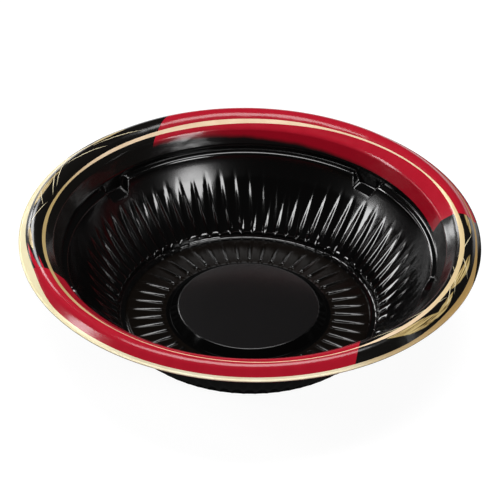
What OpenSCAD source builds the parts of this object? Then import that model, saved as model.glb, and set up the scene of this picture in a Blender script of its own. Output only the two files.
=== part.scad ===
// Disposable donburi bowl: one formed sheet shell, with a printed film over its rim.
// Origin on the table at the centre of the foot, +Z up, lengths in millimetres.

/* [Sheet] */
// Thickness of the formed sheet
sheet_t = 0.8; // [0.6:0.1:1.2]
// Inside radius of the small bends in the sheet
bend_r = 0.5; // [0.3:0.1:0.8]

/* [Rim] */
// Outside diameter of the rim
rim_d = 190; // [184:1:200]
// Height of the crest of the rim above the table
bowl_h = 44.4; // [43:0.2:51]
// Width of the flat trim lip at the foot of the skirt
lip_w = 0.7; // [0.6:0.1:1]
// Slope of the skirt from level, in degrees
skirt_slope = 44.5; // [40:0.5:52]
// Distance of the top of the crest from the edge of the rim
crest_in = 7; // [6.6:0.2:7.6]
// Radius of the rounded crest, on its upper side
crest_r = 5.2; // [4.6:0.2:5.8]
// Slope of the flange inside the crest from level, in degrees
flange_slope = 39.5; // [34:0.5:44]
// Radial run of the flange from the top of the crest to its inner edge
flange_w = 7.4; // [6.6:0.2:8.6]
// Radial run of the rim wall below the flange
rim_wall_w = 2.9; // [2:0.1:4]

/* [Lid seat] */
// Height of the ledge on which the lid rests
seat_h = 30.6; // [29:0.2:33]
// Width of the ledge
seat_w = 2.7; // [2.2:0.1:3.4]
// Height of the undercut lip that holds the lid, above the ledge
snap_h = 2.2; // [1.8:0.1:3]
// How far the undercut lip leans in over the ledge
snap_in = 0.4; // [0.2:0.1:0.6]
// Width of one lid-lock pocket at the ledge
pocket_w = 13.6; // [11:0.2:16]
// Width of a lid-lock pocket at its floor, between its sloping ends
pocket_foot_w = 9.4; // [7:0.2:10.8]
// Depth of a lid-lock pocket below the ledge
pocket_drop = 5.6; // [4:0.2:6.5]
// Directions of the lid-lock pockets, in degrees from +X
pocket_angles = [-14.5, 50, 140, 204.5]; // [-30:0.5:330]

/* [Wall] */
// Height of the knee where the belly of the wall turns steeper
knee_h = 21.6; // [20:0.2:23]
// How far the knee bulges out past a straight wall
belly_w = 2.3; // [1.2:0.1:2.8]
// Radius of the rounded knee
knee_round = 18; // [10:1:20]

/* [Base] */
// Diameter of the corner between the floor and the wall
base_d = 105.6; // [102:0.4:110]
// Radius of the rounded corner between the floor and the wall
floor_round = 2.5; // [1.5:0.1:3.5]
// Diameter of the raised plateau
plateau_d = 58.6; // [54:0.2:62]
// Height of the plateau above the floor
plateau_h = 3.8; // [2.6:0.2:4.4]
// Radial run of the sloping step round the plateau
step_w = 4.6; // [3.8:0.2:5.6]

/* [Floor ribs] */
// Number of radial ribs on the floor
floor_rib_count = 48; // [36:2:54]
// Height of a floor rib at its blunt inner end
floor_rib_h = 0.7; // [0.4:0.1:0.8]
// Radius of the crown of a floor rib, on its upper side
floor_rib_crown = 1.7; // [1.6:0.1:2]
// Gap between the plateau step and the inner ends of the floor ribs
floor_rib_gap = 1.2; // [0.8:0.1:1.6]
// Length of a floor rib from its inner end to its pointed tip
floor_rib_l = 14.6; // [10:0.2:15]

/* [Wall flutes] */
// Number of flutes round the wall
flute_count = 72; // [54:2:76]
// Direction of the first flute, in degrees from +X
flute_turn = 1.3; // [0:0.1:5]
// Height of a flute above the wall, at the floor
flute_h = 0.8; // [0.5:0.1:0.9]
// Radius of the crown of a flute, on its upper side
flute_crown = 2.8; // [2.2:0.1:2.9]
// Length of a flute up the wall, from the floor to its tip
flute_l = 24; // [18:0.5:24]

/* [Printed film] */
// Thickness of the film, drawn thicker than the real one
film_t = 0.15; // [0.1:0.05:0.3]
// Bare strip of rim wall between the lid's undercut lip and the film
film_gap = 1; // [0.6:0.1:2]
// Mean width of the outer gold band on the skirt, seen from above
gold_band_w = 3.2; // [2.4:0.1:4]
// Gap between the outer gold band and the inner gold line, seen from above
gold_line_gap = 4.45; // [3.6:0.05:5.2]
// Width of the inner gold line, seen from above
gold_line_w = 2.3; // [1.2:0.1:2.6]
// How far the print sits to the right of the bowl's axis
print_x = 1.2; // [-1.5:0.1:1.5]
// How far the print sits behind the bowl's axis
print_y = -1.5; // [-1.5:0.1:1.5]
// Directions at which the two red panels start, at the ledge, in degrees from +X
red_from = [11, 206]; // [0:1:220]
// Angles that the two red panels span at the ledge, in degrees
red_span = [113, 99]; // [60:1:120]
// How far the panels' starts turn back between the ledge and the edge of the rim, in degrees
start_slant = [3, 9]; // [0:1:14]
// How far the panels' ends turn back between the ledge and the edge of the rim, in degrees
end_slant = [14, 9]; // [0:1:14]

/* [Hidden] */
$fn = 180;
bend_steps = 3;
crest_steps = 9;
crown_half = 50;
sector_steps = 16;

rim_r = rim_d / 2;
gold_band_d = rim_d - 2 * gold_band_w;
gold_line_d = gold_band_d - 2 * gold_line_gap - gold_line_w;
crest_z = bowl_h - film_t;
floor_z = sheet_t;
plateau_z = floor_z + plateau_h;
step_r = plateau_d / 2 + step_w;
corner = [base_d / 2, floor_z];

// The crest is an arc between the straight flange and the straight skirt
crest_c = [rim_r - crest_in, crest_z - crest_r];
crest_path = arc(crest_c, crest_r, 90 + flange_slope, 90 - skirt_slope, crest_steps);
crest_start = crest_path[0];
crest_end = crest_path[crest_steps];
flange_in = crest_start - (crest_start[0] - crest_c[0] + flange_w) * [1, tan(flange_slope)];
lip_in = crest_end + (rim_r - lip_w - crest_end[0]) * [1, -tan(skirt_slope)];

seat_out = [flange_in[0] - rim_wall_w, seat_h];
seat_in = [seat_out[0] - seat_w, seat_h];
snap_top = seat_out + [-snap_in, snap_h];
film_start = snap_top + film_gap * unit(flange_in - snap_top);

knee = corner + [belly_w, 0] + (seat_in - corner) * (knee_h - floor_z) / (seat_h - floor_z);
wall_dir = unit(knee - corner);
wall_in = [-wall_dir[1], wall_dir[0]];
upper_dir = unit(seat_in - knee);

// Bends that bulge upwards need the sheet's thickness on top of the inside radius
outer_bend = bend_r + sheet_t;

function unit(v) = v / norm(v);
function reversed(list) = [for (i = [len(list) - 1 : -1 : 0]) list[i]];
function left_of(a, b) = let (d = unit(b - a)) [-d[1], d[0]];
function arc(c, r, from, to, steps) = [for (i = [0 : steps])
    let (a = from + (to - from) * i / steps) c + r * [cos(a), sin(a)]];

// The arc that replaces the corner q between p and s
function bend(p, q, s, r) =
    let (u = unit(p - q))
    let (v = unit(s - q))
    let (half = acos(u * v) / 2)
    let (c = q + unit(u + v) * r / sin(half))
    let (start = q + u * r / tan(half) - c)
    let (end = q + v * r / tan(half) - c)
    let (from = atan2(start[1], start[0]))
    let (turn = atan2(start[0] * end[1] - start[1] * end[0], start * end))
    arc(c, r, from, from + turn, bend_steps);

// A path with a rounded bend at each point that has a radius
function rounded(path, radii) = [for (i = [0 : len(path) - 1])
    each radii[i] > 0 ? bend(path[i - 1], path[i], path[i + 1], radii[i]) : [path[i]]];

// The same path moved sideways, to its left for a positive distance
function shifted(path, d) = [for (i = [0 : len(path) - 1])
    let (a = left_of(path[max(i - 1, 0)], path[max(i, 1)]))
    let (b = left_of(path[min(i, len(path) - 2)], path[min(i + 1, len(path) - 1)]))
    path[i] + d * (a + b) / (1 + a * b)];

// Upper side of the sheet, from the centre of the floor out to the film
bowl_path = rounded(
    [[0, plateau_z], [plateau_d / 2, plateau_z], [step_r, floor_z],
        corner, knee, seat_in, seat_out, snap_top, film_start],
    [0, outer_bend, bend_r,
        floor_round, knee_round, outer_bend, bend_r, outer_bend, 0]);
inner_rim_path = rounded([film_start, flange_in, crest_start], [0, outer_bend, 0]);
lip_path = rounded([crest_end, lip_in, [rim_r, lip_in[1]]], [0, bend_r, 0]);

function tail(list, n) = [for (i = [n : len(list) - 1]) list[i]];
rim_path = concat(inner_rim_path, tail(crest_path, 1), tail(lip_path, 1));
sheet_path = concat(bowl_path, tail(rim_path, 1));

// Everything under the upper side of the sheet, closed across the mouth of the bowl
module filled_bowl() {
    mouth = [[rim_path[1][0], rim_path[1][1]], [0, rim_path[1][1]]];
    rotate_extrude()
        polygon(concat(shifted(sheet_path, -sheet_t), reversed(tail(rim_path, 1)), mouth));
}

// The space inside the bowl, carried straight up past the rim
module bowl_space() {
    top = bowl_h + sheet_t;
    rotate_extrude()
        polygon(concat(bowl_path, [rim_path[0], rim_path[1], [rim_path[1][0], top], [0, top]]));
}

// A crowned bar between two points of the bowl's section, with a little taken off its crown;
// the points are on the axis of the crown, and the bar runs on past them
module ridge(start, end, before, after, crown, less) {
    lean = unit(end - start);
    first = start - before * lean;
    long = norm(end - start) + before + after;
    skirt = 2 * sheet_t;
    over = arc([0, 0], crown - less, 90 - crown_half, 90 + crown_half, 4);
    translate([first[0], 0, first[1]])
        rotate([0, atan2(lean[0], lean[1]), 0])
            rotate(90)
                linear_extrude(long)
                    polygon(concat(over, [over[4] - [0, skirt], over[0] - [0, skirt]]));
}

// Flutes rise from the floor and sink into the wall at their tips
module flutes(less) {
    foot = corner - (flute_crown - flute_h) * wall_in;
    tip = corner + flute_l * wall_dir - flute_crown * wall_in;
    for (i = [0 : flute_count - 1])
        rotate(360 * i / flute_count + flute_turn)
            ridge(foot, tip, 1.5, 1.5, flute_crown, less);
}

// Floor ribs start blunt beside the plateau and sink into the floor at their tips
module floor_ribs(less) {
    near = [step_r + floor_rib_gap, floor_z + floor_rib_h - floor_rib_crown];
    far = near + [floor_rib_l, -floor_rib_h];
    for (i = [0 : floor_rib_count - 1])
        rotate(360 * i / floor_rib_count)
            ridge(near, far, -less, 0.5, floor_rib_crown, less);
}

// One lid-lock pocket below the ledge, with sloping ends, grown outwards and down by the given thickness
module pocket(grow, top) {
    low = seat_h - pocket_drop;
    back = seat_out[0] - snap_in + grow;
    front = seat_in[0] - pocket_drop * upper_dir[0] / upper_dir[1] - outer_bend;
    lean = (pocket_w - pocket_foot_w) / 2 / pocket_drop;
    foot = pocket_foot_w / 2 + grow * (norm([1, lean]) - lean);
    head = foot + lean * (top - low + grow);
    intersection() {
        cylinder(r = back, h = bowl_h);
        translate([front, 0, 0])
            rotate([90, 0, 90])
                linear_extrude(back - front + sheet_t)
                    polygon([[-foot, low - grow], [foot, low - grow], [head, top], [-head, top]]);
    }
}

module pockets(grow, top) {
    for (a = pocket_angles)
        rotate(a)
            pocket(grow, top);
}

module formed_shell() {
    color("#161414")
        difference() {
            union() {
                difference() {
                    filled_bowl();
                    flutes(sheet_t);
                    floor_ribs(sheet_t);
                }
                pockets(sheet_t, seat_h - sheet_t / 2);
            }
            difference() {
                bowl_space();
                flutes(0);
                floor_ribs(0);
            }
            pockets(0, seat_h + snap_h / 2);
        }
}

// The whole film, a thin band that follows the rim from the snap lip to the trim edge
module film() {
    rotate_extrude()
        polygon(concat(rim_path, reversed(shifted(rim_path, film_t))));
}

// A round cutter on the print's own axis, taller than the bowl
module print_disc(d) {
    translate([print_x, print_y, 0])
        cylinder(d = d, h = 2 * bowl_h);
}

module gold_line_zone() {
    difference() {
        print_disc(gold_line_d + gold_line_w);
        print_disc(gold_line_d - gold_line_w);
    }
}

// A cutter between the ledge and the edge of the rim, with slanting ends
module sector(from, to, far_from, far_to) {
    near = arc([0, 0], seat_in[0], from, to, sector_steps);
    far = arc([0, 0], rim_r, far_to, far_from, sector_steps);
    linear_extrude(2 * bowl_h)
        polygon(concat(near, far));
}

module red_sectors() {
    for (i = [0 : len(red_from) - 1]) {
        from = red_from[i];
        to = from + red_span[i];
        sector(from, to, from - start_slant[i], to - end_slant[i]);
    }
}

// The film between and inside the gold
module panels() {
    difference() {
        intersection() {
            film();
            print_disc(gold_band_d);
        }
        gold_line_zone();
    }
}

module red_print() {
    color("#b3182b")
        intersection() {
            panels();
            red_sectors();
        }
}

module black_print() {
    color("#1b1715")
        difference() {
            panels();
            red_sectors();
        }
}

module inner_gold_line() {
    color("#c9b477")
        intersection() {
            film();
            gold_line_zone();
        }
}

module outer_gold_band() {
    color("#d8caa0")
        difference() {
            film();
            print_disc(gold_band_d);
        }
}

formed_shell();
red_print();
black_print();
inner_gold_line();
outer_gold_band();
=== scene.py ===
import math
from functools import cache

import bpy
from mathutils import Matrix, Vector


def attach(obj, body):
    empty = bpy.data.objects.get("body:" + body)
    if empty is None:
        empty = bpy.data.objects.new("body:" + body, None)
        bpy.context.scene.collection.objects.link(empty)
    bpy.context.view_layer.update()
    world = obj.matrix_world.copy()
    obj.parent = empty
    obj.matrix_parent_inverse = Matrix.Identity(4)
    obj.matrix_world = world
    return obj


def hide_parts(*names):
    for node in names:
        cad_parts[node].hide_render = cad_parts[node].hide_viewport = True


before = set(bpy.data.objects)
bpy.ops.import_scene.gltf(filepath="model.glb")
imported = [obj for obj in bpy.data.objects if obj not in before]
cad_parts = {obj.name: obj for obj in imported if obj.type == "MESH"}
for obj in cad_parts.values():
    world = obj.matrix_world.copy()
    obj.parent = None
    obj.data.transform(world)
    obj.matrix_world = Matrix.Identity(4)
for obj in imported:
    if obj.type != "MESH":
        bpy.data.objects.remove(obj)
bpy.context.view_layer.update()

mm = 0.001
turn = 2 * math.pi


def say(text):
    print("[bowl]", text)


def between(a, b, t):
    return a + (b - a) * t


def metres(sizes):
    return [size * mm for size in sizes]


class Sock:   # a socket: sums on it add Math nodes
    def __init__(self, web, link):
        self.web = web
        self.link = link

    def join(self, how, *terms):
        return self.web.node("ShaderNodeMath", {"operation": how}, dict(enumerate(terms)))

    def calc(self, how, *others):
        return self.join(how, self, *others)

    def __add__(self, other):
        return self.calc("ADD", other)

    def __radd__(self, other):
        return self.calc("ADD", other)

    def __sub__(self, other):
        return self.calc("SUBTRACT", other)

    def __rsub__(self, other):
        return self.join("SUBTRACT", other, self)

    def __mul__(self, other):
        return self.calc("MULTIPLY", other)

    def __rmul__(self, other):
        return self.calc("MULTIPLY", other)

    def __truediv__(self, other):
        return self.calc("DIVIDE", other)


class Web:   # a node tree: every node comes from its node method
    def __init__(self, tree):
        self.tree = tree

    def plug(self, slot, item):
        if isinstance(item, Sock):
            self.tree.links.new(item.link, slot)
        else:
            slot.default_value = item

    def node(self, kind, settings, inputs, output=0):
        made = self.tree.nodes.new(kind)
        for name, value in settings.items():
            setattr(made, name, value)
        for name, value in inputs.items():
            self.plug(made.inputs[name], value)
        if isinstance(output, tuple):
            return [Sock(self, made.outputs[name]) for name in output]
        return Sock(self, made.outputs[output])


class Finish(Web):
    def __init__(self, name):
        self.material = bpy.data.materials.new(name)
        self.material.use_nodes = True
        super().__init__(self.material.node_tree)
        self.surface = self.tree.nodes["Principled BSDF"]
        self.place = self.node("ShaderNodeTexCoord", {}, {}, "Object")
        self.x, self.y, self.z = self.split(self.place)
        self.r = (self.x * self.x + self.y * self.y).calc("SQRT")

    def split(self, vector):
        return self.node("ShaderNodeSeparateXYZ", {}, {"Vector": vector}, ("X", "Y", "Z"))

    def vector(self, x, y, z):
        return self.node("ShaderNodeCombineXYZ", {}, {"X": x, "Y": y, "Z": z})

    def around(self, turns, radial):   # a place that follows the rim round, with no seam
        return self.vector(self.x / self.r * turns, self.y / self.r * turns, (self.r + self.z) * radial)

    def noise(self, where, scale, detail=2.0, rough=0.5):
        return self.node("ShaderNodeTexNoise", {},
                         {"Vector": where, "Scale": scale, "Detail": detail, "Roughness": rough})

    def step(self, value, low, high):   # smooth step from 0 at low to 1 at high
        return self.node("ShaderNodeMapRange", {"interpolation_type": "SMOOTHSTEP"},
                         {"Value": value, "From Min": low, "From Max": high})

    def window(self, value, low, high, soft):   # 1 between low and high
        return self.step(value, low - soft, low + soft) * (1 - self.step(value, high - soft, high + soft))

    def blend(self, mask, first, second):   # 6, 7 and 2 are a Mix node's colour sockets
        first, second = [tone if isinstance(tone, Sock) else (*tone, 1) for tone in (first, second)]
        return self.node("ShaderNodeMix", {"data_type": "RGBA"}, {0: mask, 6: first, 7: second}, 2)

    def give(self, inputs):
        for name, value in inputs.items():
            self.plug(self.surface.inputs[name], value)

    def bump(self, height, distance, strength):
        inputs = {"Height": height, "Distance": distance, "Strength": strength}
        self.give({"Normal": self.node("ShaderNodeBump", {}, inputs)})

    def matt(self, mask, colour):   # a dull shader where the mask is 1
        gloss = Sock(self, self.surface.outputs[0])
        dull = self.node("ShaderNodeBsdfDiffuse", {}, {"Color": (*colour, 1)})
        mixed = self.node("ShaderNodeMixShader", {}, {0: mask, 1: gloss, 2: dull})
        self.plug(self.tree.nodes["Material Output"].inputs["Surface"], mixed)


# sections are drawn in millimetres, as (radius, height) points

def unit(v):
    n = math.hypot(*v)
    return (v[0] / n, v[1] / n)


def arc(centre, radius, start, sweep, steps):
    path = []
    for i in range(steps + 1):
        angle = start + sweep * i / steps
        path.append((centre[0] + radius * math.cos(angle), centre[1] + radius * math.sin(angle)))
    return path


def bend(before, corner, after, radius, steps):   # the arc that rounds a corner
    u = unit((before[0] - corner[0], before[1] - corner[1]))
    v = unit((after[0] - corner[0], after[1] - corner[1]))
    m = unit((u[0] + v[0], u[1] + v[1]))
    half = math.acos(max(-1, min(1, u[0] * v[0] + u[1] * v[1]))) / 2
    away = radius / math.sin(half)
    reach = radius / math.tan(half)
    a = (u[0] * reach - m[0] * away, u[1] * reach - m[1] * away)   # from the arc's centre to its ends
    b = (v[0] * reach - m[0] * away, v[1] * reach - m[1] * away)
    start = math.atan2(a[1], a[0])
    sweep = math.atan2(a[0] * b[1] - a[1] * b[0], a[0] * b[0] + a[1] * b[1])
    return arc((corner[0] + m[0] * away, corner[1] + m[1] * away), radius, start, sweep, steps)


def rounded(corners):   # a corner with four numbers also has its radius and its steps
    path = []
    for i, corner in enumerate(corners):
        if len(corner) == 2:
            path.append(corner)
        else:
            path += bend(corners[i - 1][:2], corner[:2], corners[i + 1][:2], corner[2], corner[3])
    return path


def leftNormals(path):
    found = []
    for i in range(len(path)):
        a, b = path[max(i - 1, 0)], path[min(i + 1, len(path) - 1)]
        d = unit((b[0] - a[0], b[1] - a[1]))
        found.append((-d[1], d[0]))
    return found


def only(piece):
    bpy.ops.object.select_all(action="DESELECT")
    piece.select_set(True)
    bpy.context.view_layer.objects.active = piece


def wrapGrid(name, columns, rows, place, close):
    bpy.ops.object.select_all(action="DESELECT")
    bpy.ops.mesh.primitive_grid_add(x_subdivisions=columns, y_subdivisions=rows, size=2)
    piece = bpy.context.object
    piece.name = name
    for vertex in piece.data.vertices:
        c = round((vertex.co.x + 1) / 2 * columns)
        k = round((vertex.co.y + 1) / 2 * rows)
        vertex.co = place(c, k)
    only(piece)
    bpy.ops.object.mode_set(mode="EDIT")
    bpy.ops.mesh.select_all(action="SELECT")
    if close:
        bpy.ops.mesh.remove_doubles(threshold=1e-6)
    bpy.ops.mesh.flip_normals()   # columns run anticlockwise, so the grid comes out face down
    bpy.ops.object.mode_set(mode="OBJECT")
    return piece


def thicken(piece, amount):
    only(piece)
    sheet = piece.modifiers.new("sheet", "SOLIDIFY")
    sheet.thickness = amount
    sheet.offset = -1
    bpy.ops.object.modifier_apply(modifier=sheet.name)


def smooth(piece, degrees):
    only(piece)
    bpy.ops.object.shade_smooth_by_angle(angle=math.radians(degrees))


def onAxis(r, angle, z):   # a section's point, turned round the axis
    return Vector((r * math.cos(angle), r * math.sin(angle), z)) * mm


def dress(piece, material, node):
    piece.data.materials.clear()
    piece.data.materials.append(material)
    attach(piece, "root")
    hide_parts(node)


rim = {
    "radius": 95.0, "crestHeight": 44.2, "crestRound": 5.2, "crestIn": 7.0,
    "skirtSlope": 44.5, "lip": 0.7, "lipRound": 0.6,
    "flangeSlope": 39.5, "flangeRun": 7.4, "flangeRound": 2.2,
    "wallRun": 2.9, "seatHeight": 30.6, "snapHeight": 2.2, "snapIn": 0.4, "filmGap": 1.0,
}


def onSlope(centre, radius, slope):   # where a crest falls away at this slope, outwards if positive
    lean = math.radians(slope)
    return (centre[0] + radius * math.sin(lean), centre[1] + radius * math.cos(lean))


def rimSection(s):
    crest = (s["radius"] - s["crestIn"], s["crestHeight"] - s["crestRound"])
    inner = onSlope(crest, s["crestRound"], -s["flangeSlope"])
    outer = onSlope(crest, s["crestRound"], s["skirtSlope"])
    flangeR = crest[0] - s["flangeRun"]
    flangeIn = (flangeR, inner[1] - (inner[0] - flangeR) * math.tan(math.radians(s["flangeSlope"])))
    lipR = s["radius"] - s["lip"]
    lip = (lipR, outer[1] - (lipR - outer[0]) * math.tan(math.radians(s["skirtSlope"])))
    seatOut = (flangeIn[0] - s["wallRun"], s["seatHeight"])
    snap = (seatOut[0] - s["snapIn"], s["seatHeight"] + s["snapHeight"])
    up = unit((flangeIn[0] - snap[0], flangeIn[1] - snap[1]))
    film = (snap[0] + s["filmGap"] * up[0], snap[1] + s["filmGap"] * up[1])
    return {"crest": crest, "flangeIn": flangeIn, "lip": lip,
            "seatOut": seatOut, "snap": snap, "film": film}


rimAt = rimSection(rim)


def rimPath(flangeSteps, crestSteps, bendSteps):
    start = math.radians(90 + rim["flangeSlope"])
    sweep = -math.radians(rim["flangeSlope"] + rim["skirtSlope"])
    crest = arc(rimAt["crest"], rim["crestRound"], start, sweep, crestSteps)
    inner = rounded([rimAt["film"], (*rimAt["flangeIn"], rim["flangeRound"], bendSteps), crest[0]])
    flange = [tuple(between(inner[-2][n], crest[0][n], i / flangeSteps) for n in (0, 1))
              for i in range(1, flangeSteps)]
    lip = rounded([crest[-1], (*rimAt["lip"], rim["lipRound"], bendSteps),
                   (rim["radius"], rimAt["lip"][1])])
    return inner[:-1] + flange + crest + lip[1:]


say("rim from %.1f to %.1f mm" % (rimAt["film"][0], rim["radius"]))

# the belly is part of a sphere: the height of its centre, and its radius
# footFillet and nose: the radius between flutes, and what each mm of flute adds
# pockets: their middles and half widths in degrees, and the columns that slide onto their corners
# the last lines are the finish: tones, and masks in mm or by how far the surface faces up
shell = {
    "columns": 720, "sheet": 0.5, "smoothAngle": 50, "belly": (63.8, 82.3), "rimSteps": (1, 3, 2),
    "plateau": 29.4, "plateauHeight": 4.6, "stepFoot": 32.7, "stepRound": 0.7, "floor": 1.3,
    "ribs": 48, "ribTurn": 0.0, "ribHeight": 0.75, "ribHalf": 1.0, "ribEnd": 0.7,
    "ribIn": 36.0, "ribOut": 50.2, "ribRows": (36.25, 36.55, 36.9, 38.1, 40.5, 43.5, 46.5, 48.8),
    "gutter": 0.8, "gutterRows": (50.0, 50.6, 51.2, 52.0, 52.3), "gutterRound": 0.4,
    "footRadius": 53.8, "footPush": 0.1, "footLean": 76.0, "footFillet": (0.5, 0.7), "nose": (0.6, 2.2),
    "wallStart": 55.2, "climb": (1.6, 2.8, 4.6, 7.0, 9.8, 12.8, 16.0, 19.4, 23.0),
    "flutes": 72, "fluteTurn": 1.3, "fluteHeight": 1.05, "fluteLength": 27.6, "fluteTip": 0.02,
    "bluntTo": 4.0,
    "upper": (22.6, 24.6, 26.6, 28.6), "underSeat": 1.2, "seatIn": 74.95,
    "pocketEdge": 0.8, "seatEdge": 1.6, "seatFillet": 0.8, "snapRound": 1.2,
    "pockets": (-14.5, 49.4, 140.0, 204.5), "pocketTop": 5.25, "pocketFoot": 3.6,
    "pocketDrop": 5.6, "pocketRise": 1.0, "slide": (3.5, 5.5, 7.0),
    "wallTone": (0.0016, 0.0015, 0.0015), "ringTone": (0.0105, 0.0066, 0.0042),
    "middleTone": (0.0062, 0.0058, 0.006), "dullTone": (0.002, 0.002, 0.002),
    "insideFacing": (-0.16, -0.04), "ringAt": (34.8, 51.0, 0.6), "ringTop": (1.4, 1.8),
    "moatAt": (29.6, 34.4, 0.4), "middleFrom": (4.2, 4.5), "middleTo": (29.4, 29.9),
    "browAt": (21.0, 29.2, 1.2), "browFacing": (0.3, 0.62, 0.1),
    "hazeScale": 90.0, "grainScale": 2200.0, "grainDepth": 0.012, "gloss": 0.55,
}


def bellyHeight(r, lift):
    return shell["belly"][0] - math.sqrt((shell["belly"][1] - lift) ** 2 - r * r)


def bellyRadius(z):
    return math.sqrt(shell["belly"][1] ** 2 - (shell["belly"][0] - z) ** 2)


def wallPoint(climb, lift):
    hub, radius = shell["belly"]
    lean = math.asin(shell["wallStart"] / radius) + climb / radius
    return ((radius - lift) * math.sin(lean), hub - (radius - lift) * math.cos(lean))


@cache
def cornerPath(lift):   # gutter, fillet, riser and the nose of a flute, for one height of the flute
    s = shell
    foot = s["footRadius"] + s["footPush"] * lift
    top = foot
    for again in range(8):
        top = foot + (bellyHeight(top, lift) - s["gutter"]) / math.tan(math.radians(s["footLean"]))
    fillet = s["footFillet"][0] + s["footFillet"][1] * lift
    nose = s["nose"][0] + s["nose"][1] * lift
    return rounded([(s["gutterRows"][-1], s["gutter"]), (foot, s["gutter"], fillet, 3),
                    (top, bellyHeight(top, lift), nose, 5), wallPoint(s["climb"][0], lift)])[:-1]


@cache
def seatRows(share):   # upper wall, ledge and snap lip: share is 1 on the ledge and 0 on a pocket's floor
    s = shell
    level = rim["seatHeight"] - s["pocketDrop"] * (1 - share)
    edge = bellyRadius(level) + share * (s["seatIn"] - bellyRadius(rim["seatHeight"]))
    back = between(rimAt["snap"][0], rimAt["seatOut"][0], share)
    start, top = s["upper"][0], rim["seatHeight"] - s["underSeat"]
    heights = [start + (z - start) * (level - s["underSeat"] - start) / (top - start) for z in s["upper"]]
    upper = [(bellyRadius(z), z) for z in heights]
    ledge = rounded([upper[-1], (edge, level, between(s["pocketEdge"], s["seatEdge"], share), 4),
                     (back, level + s["pocketRise"] * (1 - share), s["seatFillet"], 2),
                     (*rimAt["snap"], s["snapRound"], 2), rimAt["film"]])
    return upper + ledge[1:]


def shellSection():
    s = shell
    floor = rounded([(0, s["plateauHeight"]), (s["plateau"], s["plateauHeight"], s["stepRound"], 3),
                     (s["stepFoot"], s["floor"], s["stepRound"], 2), (s["ribIn"], s["floor"])])
    fall, dip, low, end = s["gutterRows"][:4]
    parts = {
        "floor": floor,
        "ribs": [(r, s["floor"]) for r in s["ribRows"]],
        "gutter": rounded([(fall, s["floor"]), (dip, s["floor"], s["gutterRound"], 1),
                           (low, s["gutter"], s["gutterRound"], 1), (end, s["gutter"])]),
        "corner": cornerPath(0.0),
        "wall": [wallPoint(climb, 0.0) for climb in s["climb"]],
        "seat": seatRows(1.0),
        "rim": rimPath(*s["rimSteps"])[1:],
    }
    path, marks = [], {}
    for name, part in parts.items():
        marks[name] = len(path)
        path += part
    return path, marks


shellPath, shellMarks = shellSection()


def fromNearest(angle, count, offset):   # how far round the nearest of these is, in spaces between them
    spaces = (math.degrees(angle) - offset) / (360 / count)
    return abs(spaces - round(spaces))


def fluteLift(angle, climb):
    s = shell
    left = 1 - climb / s["fluteLength"]
    if left <= 0:
        return 0.0
    across = fromNearest(angle, s["flutes"], s["fluteTurn"]) * 2
    width = between(s["fluteTip"], 1.0, left ** 0.8)   # the powers set how blunt ends and crowns are
    crown = 2 + 2 * max(0.0, 1 - climb / s["bluntTo"])   # flatter across its nose than higher up
    return s["fluteHeight"] * left ** 0.9 * max(0.0, 1 - (across / width) ** crown) ** 0.8


def ribLift(angle, r):
    s = shell
    if not s["ribIn"] < r < s["ribOut"]:
        return 0.0
    across = fromNearest(angle, s["ribs"], s["ribTurn"]) * turn / s["ribs"] * r
    left = (s["ribOut"] - r) / (s["ribOut"] - s["ribIn"])
    blunt = min(1.0, (r - s["ribIn"]) / s["ribEnd"]) ** 0.6
    width = s["ribHalf"] * left ** 0.3
    return s["ribHeight"] * blunt * left ** 0.4 * max(0.0, 1 - (across / width) ** 2) ** 0.7


def nearPocket(degrees):   # degrees from the nearest pocket's middle
    return min(((degrees - centre + 180) % 360 - 180 for centre in shell["pockets"]), key=abs)


def columnAngle(c):   # columns near a pocket slide a little, so that its corners fall on columns
    s = shell
    degrees = 360 * c / s["columns"]
    off = nearPocket(degrees)
    foot, head, clear = s["slide"]
    stops = ((0, 0), (foot, s["pocketFoot"]), (head, s["pocketTop"]), (clear, clear))
    for (a, low), (b, high) in zip(stops, stops[1:]):
        if a < abs(off) <= b:
            moved = between(low, high, (abs(off) - a) / (b - a))
            return math.radians(degrees + math.copysign(moved - abs(off), off))
    return math.radians(degrees)


def pocketShare(angle):
    s = shell
    off = abs(nearPocket(math.degrees(angle)))
    return round(min(1.0, max(0.0, (off - s["pocketFoot"]) / (s["pocketTop"] - s["pocketFoot"]))), 4)


shellAngles = [columnAngle(c) for c in range(shell["columns"])] + [turn]


def shellPlace(c, k):
    angle = shellAngles[c]
    r, z = shellPath[k]
    if shellMarks["floor"] < k < shellMarks["gutter"]:
        z += ribLift(angle, r)
    elif shellMarks["corner"] <= k < shellMarks["wall"]:
        r, z = cornerPath(round(fluteLift(angle, 0.0), 4))[k - shellMarks["corner"]]
    elif shellMarks["wall"] <= k < shellMarks["seat"]:
        climb = shell["climb"][k - shellMarks["wall"]]
        r, z = wallPoint(climb, fluteLift(angle, climb))
    elif shellMarks["seat"] <= k < shellMarks["rim"]:
        r, z = seatRows(pocketShare(angle))[k - shellMarks["seat"]]
    return onAxis(r, angle, z)


def makeShell():
    piece = wrapGrid("shell", shell["columns"], len(shellPath) - 1, shellPlace, True)
    thicken(piece, shell["sheet"] * mm)
    smooth(piece, shell["smoothAngle"])
    return piece


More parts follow.
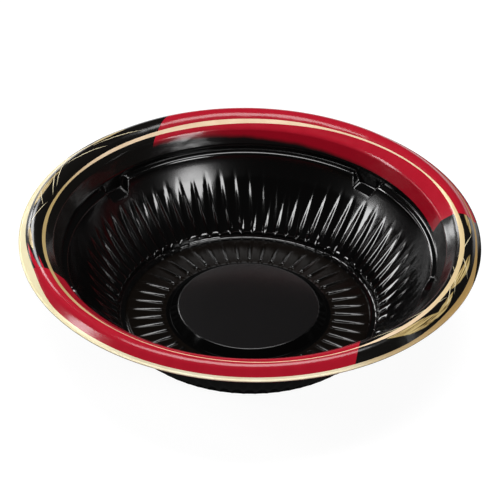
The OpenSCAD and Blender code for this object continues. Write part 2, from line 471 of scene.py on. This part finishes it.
def shellFinish():
    s = shell
    f = Finish("black formed sheet")
    facing = f.split(f.node("ShaderNodeTexCoord", {}, {}, "Normal"))[2]
    inside = f.step(facing, *s["insideFacing"])
    under = 1 - inside
    ring = f.window(f.r, *metres(s["ringAt"])) * (1 - f.step(f.z, *metres(s["ringTop"]))) * inside
    moat = f.window(f.r, *metres(s["moatAt"])) * inside
    middle = f.step(f.z, *metres(s["middleFrom"])) * (1 - f.step(f.r, *metres(s["middleTo"]))) * inside
    brow = f.window(f.z, *metres(s["browAt"])) * f.window(facing, *s["browFacing"])   # above the flutes
    haze = f.noise(f.place, s["hazeScale"], 3.0)
    grain = f.noise(f.place, s["grainScale"])
    colour = f.blend(ring * (0.7 + 0.6 * haze), s["wallTone"], s["ringTone"])
    colour = f.blend(middle, colour, s["middleTone"])
    rough = 0.08 + 0.03 * haze + 0.04 * ring + 0.1 * middle + 0.09 * brow + 0.02 * grain + 0.3 * under
    f.give({"Base Color": colour, "Roughness": rough, "Specular IOR Level": s["gloss"]})
    f.bump(grain + 0.6 * haze, s["grainDepth"] * mm, 0.5)
    f.matt(under * 0.97 + ring * 0.7 + moat * 0.95, s["dullTone"])
    return f.material


dress(makeShell(), shellFinish(), "formed_shell")
say("shell: %d section points" % len(shellPath))

# the print has its own centre, and its panels' ends slant: degrees at the inner edge, then at the rim
# the widths of the gold are (degrees, width) steps round the rim
# rows are for the five fields across the film: panel, gold line, panel, gold band, panel
film = {
    "lift": 0.06, "thick": 0.05, "wrap": 0.42, "smoothAngle": 40,
    "goldRadius": 85.7, "shift": (1.2, -2.6),
    "goldWidth": ((0, 2.0), (14, 1.5), (32, 0.6), (62, 0.8), (85, 1.9), (102, 2.2), (130, 1.5),
                  (158, 0.9), (185, 1.7), (215, 1.5), (236, 0.35), (296, 0.35), (312, 1.7)),
    "bandFrom": ((0, 3.7), (35, 2.9), (90, 2.8), (180, 4.1), (197, 4.7), (216, 2.3),
                 (296, 2.1), (312, 1.9), (335, 2.8)),
    "bandTo": ((0, 2.6), (40, 2.0), (120, 1.6), (160, 0.1), (335, 0.1)),
    "back": ((11.5, 8.0), (124.0, 110.0)), "front": ((205.0, 197.0), (305.0, 296.0)),
    "pathSteps": (18, 16, 6), "columnsPerDegree": 1.5, "rows": (22, 4, 12, 20, 3),
    "skirtFrom": (90.5, 92.5), "rub": 0.75, "gloss": 0.35, "goldGloss": 0.4,
    "skinScale": 900.0, "waveScale": 1.6, "waveDepth": 0.6,
}

# the film is trimmed with the sheet and turns down over its edge
filmPath = rimPath(*film["pathSteps"]) + [(rim["radius"], rimAt["lip"][1] - film["wrap"])]
filmNormals = leftNormals(filmPath)
filmLength = [0.0]
for a, b in zip(filmPath, filmPath[1:]):
    filmLength.append(filmLength[-1] + math.hypot(b[0] - a[0], b[1] - a[1]))


def filmAt(along):   # the film's point this far along its section
    along = max(0.0, min(filmLength[-1], along))
    i = next(i for i in range(len(filmPath) - 1) if along <= filmLength[i + 1])
    t = (along - filmLength[i]) / (filmLength[i + 1] - filmLength[i])
    point = [between(filmPath[i][n], filmPath[i + 1][n], t) for n in (0, 1)]
    normal = [between(filmNormals[i][n], filmNormals[i + 1][n], t) for n in (0, 1)]
    return tuple(point[n] + normal[n] * film["lift"] for n in (0, 1))


def alongAt(radius):   # how far along its section the film has this radius
    i = next(i for i in range(len(filmPath) - 1) if radius <= filmPath[i + 1][0])
    t = (radius - filmPath[i][0]) / (filmPath[i + 1][0] - filmPath[i][0])
    return between(filmLength[i], filmLength[i + 1], t)


def shiftedRadius(angle, radius):   # where a ring about the print's own centre crosses this direction
    sx, sy = film["shift"]
    along = sx * math.cos(angle) + sy * math.sin(angle)
    across = -sx * math.sin(angle) + sy * math.cos(angle)
    return along + math.sqrt(radius * radius - across * across)


def ringed(steps, degrees):   # a width that eases from step to step round the rim
    degrees %= 360
    for (a, low), (b, high) in zip(steps, steps[1:] + ((360, steps[0][1]),)):
        if a <= degrees <= b:
            t = (degrees - a) / (b - a)
            return between(low, high, t * t * (3 - 2 * t))


def filmBounds(angle):   # where the five fields begin along the section, and where the last one ends
    half = ringed(film["goldWidth"], math.degrees(angle)) / 2
    line = alongAt(shiftedRadius(angle, film["goldRadius"]))
    band = [filmLength[-1] - ringed(film[edge], math.degrees(angle)) for edge in ("bandFrom", "bandTo")]
    return [0.0, line - half, line + half, *band, filmLength[-1]]


def filmPanel(name, field, first, last):
    columns = int((last[0] - first[0]) * film["columnsPerDegree"])
    rows = film["rows"][field]
    innerR = rimAt["film"][0]

    def place(c, k):
        r = innerR
        for again in range(4):   # the slant depends on the radius, and the radius on the angle
            share = (r - innerR) / (rim["radius"] - innerR)
            angle = math.radians(between(between(*first, share), between(*last, share), c / columns))
            low, high = filmBounds(angle)[field:field + 2]
            r, z = filmAt(between(low, high, k / rows))
        return onAxis(r, angle, z)

    piece = wrapGrid(name, columns, rows, place, last[0] - first[0] >= 360)
    thicken(piece, film["thick"] * mm)
    smooth(piece, film["smoothAngle"])
    return piece


def joined(name, parts):
    bpy.ops.object.select_all(action="DESELECT")
    for part in parts:
        part.select_set(True)
    bpy.context.view_layer.objects.active = parts[0]
    bpy.ops.object.join()
    parts[0].name = name
    return parts[0]


def panelSet(name, spans):
    parts = []
    for number, span in enumerate(spans):
        for field in (0, 2, 4):
            parts.append(filmPanel("%s.%d.%d" % (name, number, field), field, *span))
    return joined(name, parts)


def wholeTurn(end):
    return tuple(angle + 360 for angle in end)


redSpans = [film["back"], film["front"]]
blackSpans = [(film["back"][1], film["front"][0]), (film["front"][1], wholeTurn(film["back"][0]))]
goldSpan = ((0.0, 0.0), (360.0, 360.0))


def filmBump(f):
    wave = f.noise(f.around(3.0, 60.0), film["waveScale"])
    skin = f.noise(f.place, film["skinScale"])
    f.bump(wave + 0.02 * skin, film["waveDepth"] * mm, 0.5)
    return skin


def rubSkirt(f, low, high, colour):   # the skirt is duller towards the right
    skirt = f.step(f.r, *metres(film["skirtFrom"]))
    f.matt(skirt * f.step(f.x, low * mm, high * mm) * film["rub"], colour)


# the red runs out on the steep inner side, lower down at the right, and is painted darker low on that
# side, as painted shade
redPrint = {
    "tones": ((0.34, 0.006, 0.017), (0.40, 0.011, 0.026)), "shadedRed": (0.25, 0.003, 0.011),
    "out": (0.005, 0.004, 0.004), "rubbed": (0.36, 0.008, 0.02), "rubFrom": (0.0, 30.0),
    "shadeBelow": (38.6, 39.4), "runOut": 35.8, "runOutFall": 0.05, "ragged": 1.0, "soft": 1.2,
}


def redFinish():
    p = redPrint
    f = Finish("crimson print")
    skin = filmBump(f)
    edge = p["runOut"] * mm - p["runOutFall"] * f.x + p["ragged"] * mm * f.noise(f.place, 160.0)
    fade = f.step(f.z - edge, -p["soft"] * mm, p["soft"] * mm)
    tone = f.noise(f.around(20.0, 200.0), 1.0, 3.0)
    # painted shade: low on the steep inner wall the red turns to a darker tone
    red = f.blend(f.step(f.z, *metres(p["shadeBelow"])), p["shadedRed"], f.blend(tone, *p["tones"]))
    colour = f.blend(fade, p["out"], red)
    f.give({"Base Color": colour, "Roughness": 0.13 + 0.06 * skin, "Specular IOR Level": film["gloss"]})
    rubSkirt(f, *p["rubFrom"], p["rubbed"])
    return f.material


# brush marks: degrees from the side point, radius, lean in mm per degree, half length, half width
blackPrint = {
    "black": (0.005, 0.0045, 0.004), "goldTones": ((0.22, 0.13, 0.03), (0.64, 0.51, 0.24)),
    "red": (0.42, 0.006, 0.02), "line": (0.72, 0.63, 0.42), "ragged": 0.5,
    "goldMarks": ((-17, 90.0, 0.08, 9, 1.3), (-43, 90.8, 0.12, 10, 1.6),
                  (-31, 91.5, -0.16, 6, 0.9), (6, 90.2, -0.10, 6, 0.8)),
    "lineMarks": ((-20, 88.2, -0.55, 6, 0.17), (-25, 89.0, -0.5, 7, 0.15), (-13, 89.6, -0.6, 5, 0.15),
                  (-36, 87.6, 0.3, 8, 0.15), (-48, 87.3, 0.22, 9, 0.15), (-5, 88.4, 0.45, 6, 0.15),
                  (31, 88.0, -0.5, 6, 0.15)),
    "redMarks": ((20, 90.2, -0.10, 13, 0.75), (23, 88.6, 0.06, 9, 0.5)),
}


def blackFinish():
    p = blackPrint
    f = Finish("black print with brush marks")
    skin = filmBump(f)
    side = f.x.calc("SIGN")
    fold = (f.y * side).calc("ARCTAN2", f.x * side) * math.degrees(1)   # degrees from the side point
    out = f.r / mm
    ragged = p["ragged"] * (f.noise(f.around(25.0, 500.0), 1.0, 3.0) - 0.5)
    bristle = f.noise(f.vector(fold * 0.12, out * 2.4, side * 9.0), 1.0, 3.0, 0.6)

    def marks(kind):
        total = None
        for middle, radius, lean, length, width in p[kind]:
            off = (fold - middle) / length
            across = (out - radius - lean * (fold - middle) - ragged).calc("ABSOLUTE") / width
            mark = 1 - f.step(across + off * off, 0.82, 1.0)
            total = mark if total is None else total.calc("MAXIMUM", mark)
        return total

    gold = marks("goldMarks") * f.step(bristle, 0.36, 0.46)
    colour = f.blend(gold, p["black"], f.blend(f.step(bristle, 0.35, 0.7), *p["goldTones"]))
    colour = f.blend(marks("redMarks"), colour, p["red"])
    colour = f.blend(marks("lineMarks"), colour, p["line"])
    rough = 0.13 + 0.06 * skin + 0.12 * gold
    f.give({"Base Color": colour, "Roughness": rough, "Specular IOR Level": film["gloss"]})
    return f.material


# both golds are deeper at the left and the right
goldLine = {
    "tones": ((0.68, 0.47, 0.28), (0.88, 0.70, 0.50)), "left": (0.42, 0.30, 0.09),
    "right": (0.62, 0.48, 0.24), "rubFrom": (30.0, 60.0),
}
goldBand = {
    "tones": ((0.74, 0.63, 0.40), (0.88, 0.82, 0.64)), "left": (0.70, 0.62, 0.36),
    "right": (0.36, 0.22, 0.07), "rubFrom": (30.0, 60.0),
}


def goldFinish(name, p):
    f = Finish(name)
    skin = filmBump(f)
    tone = f.noise(f.around(14.0, 300.0), 1.0, 3.0)
    atLeft = 0.8 * (1 - f.step(f.x, -0.08, -0.03)) * (1 - f.step(f.y, 0.02, 0.06))
    atRight = f.step(f.x, 0.06, 0.085) * (0.6 + 0.4 * tone)
    colour = f.blend(atLeft, f.blend(tone, *p["tones"]), p["left"])
    colour = f.blend(atRight, colour, p["right"])
    rough = 0.3 + 0.08 * skin
    f.give({"Base Color": colour, "Roughness": rough, "Metallic": 0.1,
            "Specular IOR Level": film["goldGloss"]})
    rubSkirt(f, *p["rubFrom"], p["right"])
    return f.material


dress(panelSet("redPrint", redSpans), redFinish(), "red_print")
dress(panelSet("blackPrint", blackSpans), blackFinish(), "black_print")
dress(filmPanel("innerGoldLine", 1, *goldSpan), goldFinish("gold ink", goldLine),
      "inner_gold_line")
dress(filmPanel("outerGoldBand", 3, *goldSpan), goldFinish("pale gold ink", goldBand),
      "outer_gold_band")
say("film laid: red, black and gold")

stage = {
    "radius": 12.0, "tone": 0.16, "glow": 0.92,
    "backdropAt": 2.0, "backdropSize": (5.0, 0.22), "backdropGlow": 0.7,
    "skyGlow": 0.95, "skyLight": 0.02,
}


def whiteFinish(name, strength):   # white to the camera and in reflections, without lighting the bowl
    material = bpy.data.materials.new(name)
    material.use_nodes = True
    web = Web(material.node_tree)
    web.tree.nodes.clear()
    eye, gloss, glass = web.node("ShaderNodeLightPath", {}, {},
                                 ("Is Camera Ray", "Is Glossy Ray", "Is Transmission Ray"))
    seen = eye.calc("MAXIMUM", gloss).calc("MAXIMUM", glass)
    matte = web.node("ShaderNodeBsdfDiffuse", {}, {"Color": (*[stage["tone"]] * 3, 1)})
    glow = web.node("ShaderNodeEmission", {}, {"Strength": seen * strength})
    both = web.node("ShaderNodeAddShader", {}, {0: matte, 1: glow})
    web.node("ShaderNodeOutputMaterial", {}, {"Surface": both}, ())
    return material


def makeStage():
    bpy.ops.object.select_all(action="DESELECT")
    bpy.ops.mesh.primitive_circle_add(vertices=96, radius=stage["radius"], fill_type="NGON")
    floor = bpy.context.object
    floor.name = "floor"
    floor.data.materials.append(whiteFinish("pale floor", stage["glow"]))
    wide, high = stage["backdropSize"]
    bpy.ops.mesh.primitive_plane_add(size=1, location=(0, stage["backdropAt"], high / 2),
                                     rotation=(math.pi / 2, 0, 0))
    backdrop = bpy.context.object
    backdrop.name = "backdrop"
    backdrop.scale = (wide, high, 1)
    backdrop.data.materials.append(whiteFinish("pale backdrop", stage["backdropGlow"]))


lampAim = (0, 0, 0.03)
lamps = {
    "overhead": {"at": (0.0, 0.09, 1.0), "size": (1.0, 0.40), "power": 8.6},
    "frontRight": {"at": (0.745, -0.888, 0.61), "size": (0.54, 0.43), "power": 7.0},
    "left": {"at": (-1.12, -0.09, 0.57), "size": (0.28, 0.62), "power": 5.9},
    "backLeft": {"at": (-0.80, 1.06, 0.27), "size": (0.22, 0.30), "power": 1.5},
    "backHigh": {"at": (-0.545, 0.944, 0.708), "size": (0.26, 0.60), "power": 4.2},
    "leftLow": {"at": (-1.157, 0.539, 0.28), "size": (0.90, 0.13), "power": 1.5},
    "right": {"at": (1.12, -0.10, 0.55), "size": (0.03, 0.46), "power": 0.28},
}


def makeLamps():
    for name, lamp in lamps.items():
        bpy.ops.object.light_add(type="AREA", location=lamp["at"])
        light = bpy.context.object
        light.name = name
        light.data.shape = "ELLIPSE"
        light.data.size, light.data.size_y = lamp["size"]
        light.data.energy = lamp["power"]
        aim = Vector(lampAim) - Vector(lamp["at"])
        light.rotation_euler = aim.to_track_quat("-Z", "Y").to_euler()


def makeSky():   # white to the camera alone
    world = bpy.data.worlds.new("studio")
    bpy.context.scene.world = world
    world.use_nodes = True
    web = Web(world.node_tree)
    sky = web.tree.nodes["Background"]
    seen = web.node("ShaderNodeLightPath", {}, {}, "Is Camera Ray")
    web.plug(sky.inputs["Color"], (1, 1, 1, 1))
    web.plug(sky.inputs["Strength"], seen * stage["skyGlow"] + stage["skyLight"])


camera = {
    "lens": 216.0, "sensor": 36.0, "shift": (-0.0003, -0.0284), "clipEnd": 100.0,
    "aim": (0, 0, 0.0405), "distance": 1.234, "elevation": 35.994, "roll": 1.435,
}


def makeCamera():
    tilt = math.radians(camera["elevation"])
    away = Vector((0, -math.cos(tilt), math.sin(tilt))) * camera["distance"]
    bpy.ops.object.camera_add(location=Vector(camera["aim"]) + away)
    eye = bpy.context.object
    level = (-away).to_track_quat("-Z", "Y").to_matrix()
    eye.rotation_euler = (level @ Matrix.Rotation(math.radians(camera["roll"]), 3, "Z")).to_euler()
    eye.data.lens = camera["lens"]
    eye.data.sensor_width = camera["sensor"]
    eye.data.shift_x, eye.data.shift_y = camera["shift"]
    eye.data.clip_end = camera["clipEnd"]
    bpy.context.scene.camera = eye


makeStage()
makeLamps()
makeSky()
makeCamera()
bpy.context.scene.view_settings.view_transform = "Standard"
say("stage set")
